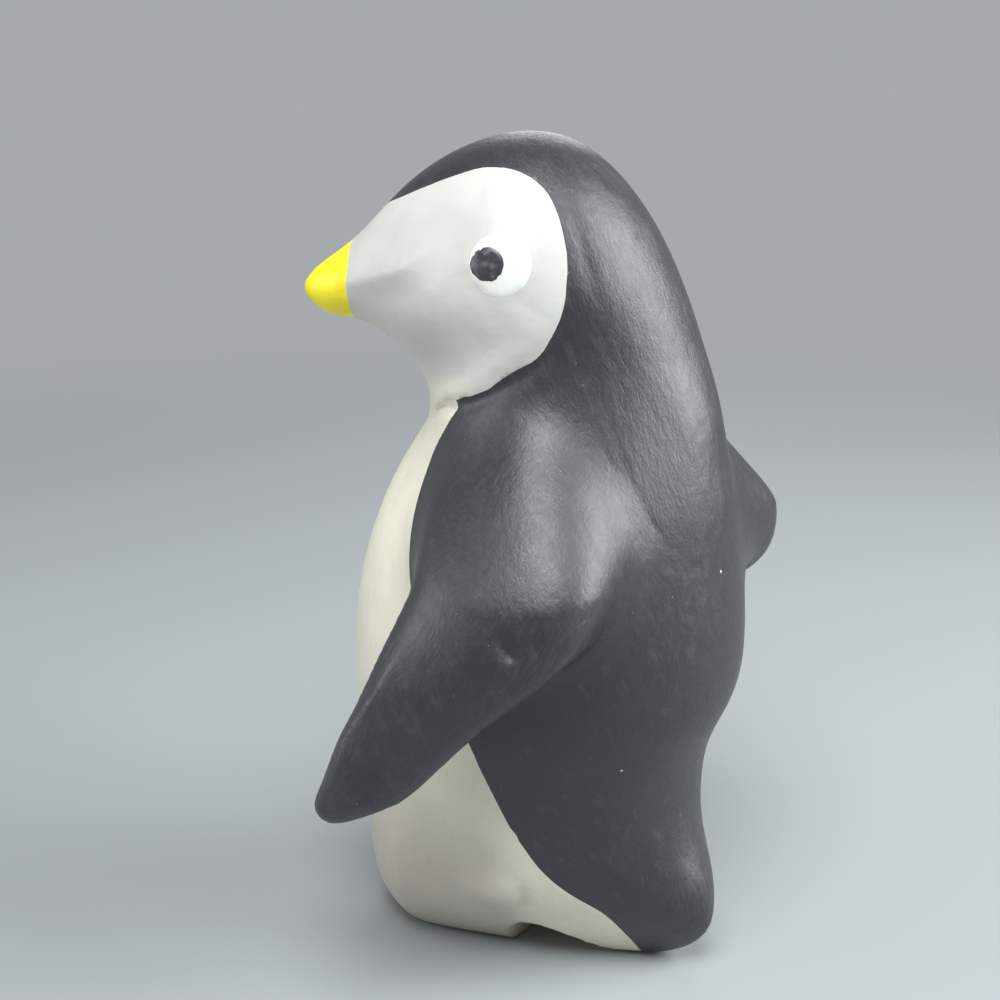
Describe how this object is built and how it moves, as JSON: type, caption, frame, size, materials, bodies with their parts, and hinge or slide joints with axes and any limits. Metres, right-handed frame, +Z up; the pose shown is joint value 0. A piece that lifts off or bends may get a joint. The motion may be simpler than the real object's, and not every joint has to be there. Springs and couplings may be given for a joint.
{
  "type": "penguin figurine",
  "caption": "Painted wooden penguin standing upright, head turned to its left, flippers held out, long beak, arch cut under the belly between legs and tail.",
  "frame": {"origin": "centre of the standing face, on the floor under the neck, at the back of the legs", "axes": "+Z up, the body faces -Y and its own left is +X; the head is turned 24 degrees to its left"},
  "size_m": [0.0906, 0.0639, 0.1251],
  "materials": {
    "bare_wood": "bare, fine sawn and sanded grain",
    "dowel_wood": "plain beech rod",
    "charcoal_paint": "satin charcoal acrylic paint over wood, brushed",
    "cream_paint": "satin cream acrylic paint over wood, brushed",
    "grey_paint": "smooth half-gloss pale grey acrylic paint over wood",
    "yellow_paint": "satin yellow acrylic paint over wood",
    "white_paint": "smooth white acrylic paint",
    "pupil_paint": "mottled dark grey acrylic paint"
  },
  "bodies": {
    "root": {"body_block": "bare_wood", "flipper_left": "bare_wood", "flipper_right": "bare_wood", "dowel_left": "dowel_wood", "dowel_right": "dowel_wood", "back_coat": "charcoal_paint", "flipper_coat_left": "charcoal_paint", "flipper_coat_right": "charcoal_paint", "belly_coat": "cream_paint", "face_coat": "grey_paint", "beak_coat": "yellow_paint", "eye_white_left": "white_paint", "eye_white_right": "white_paint", "pupil_left": "pupil_paint", "pupil_right": "pupil_paint"}
  },
  "joints": []
}
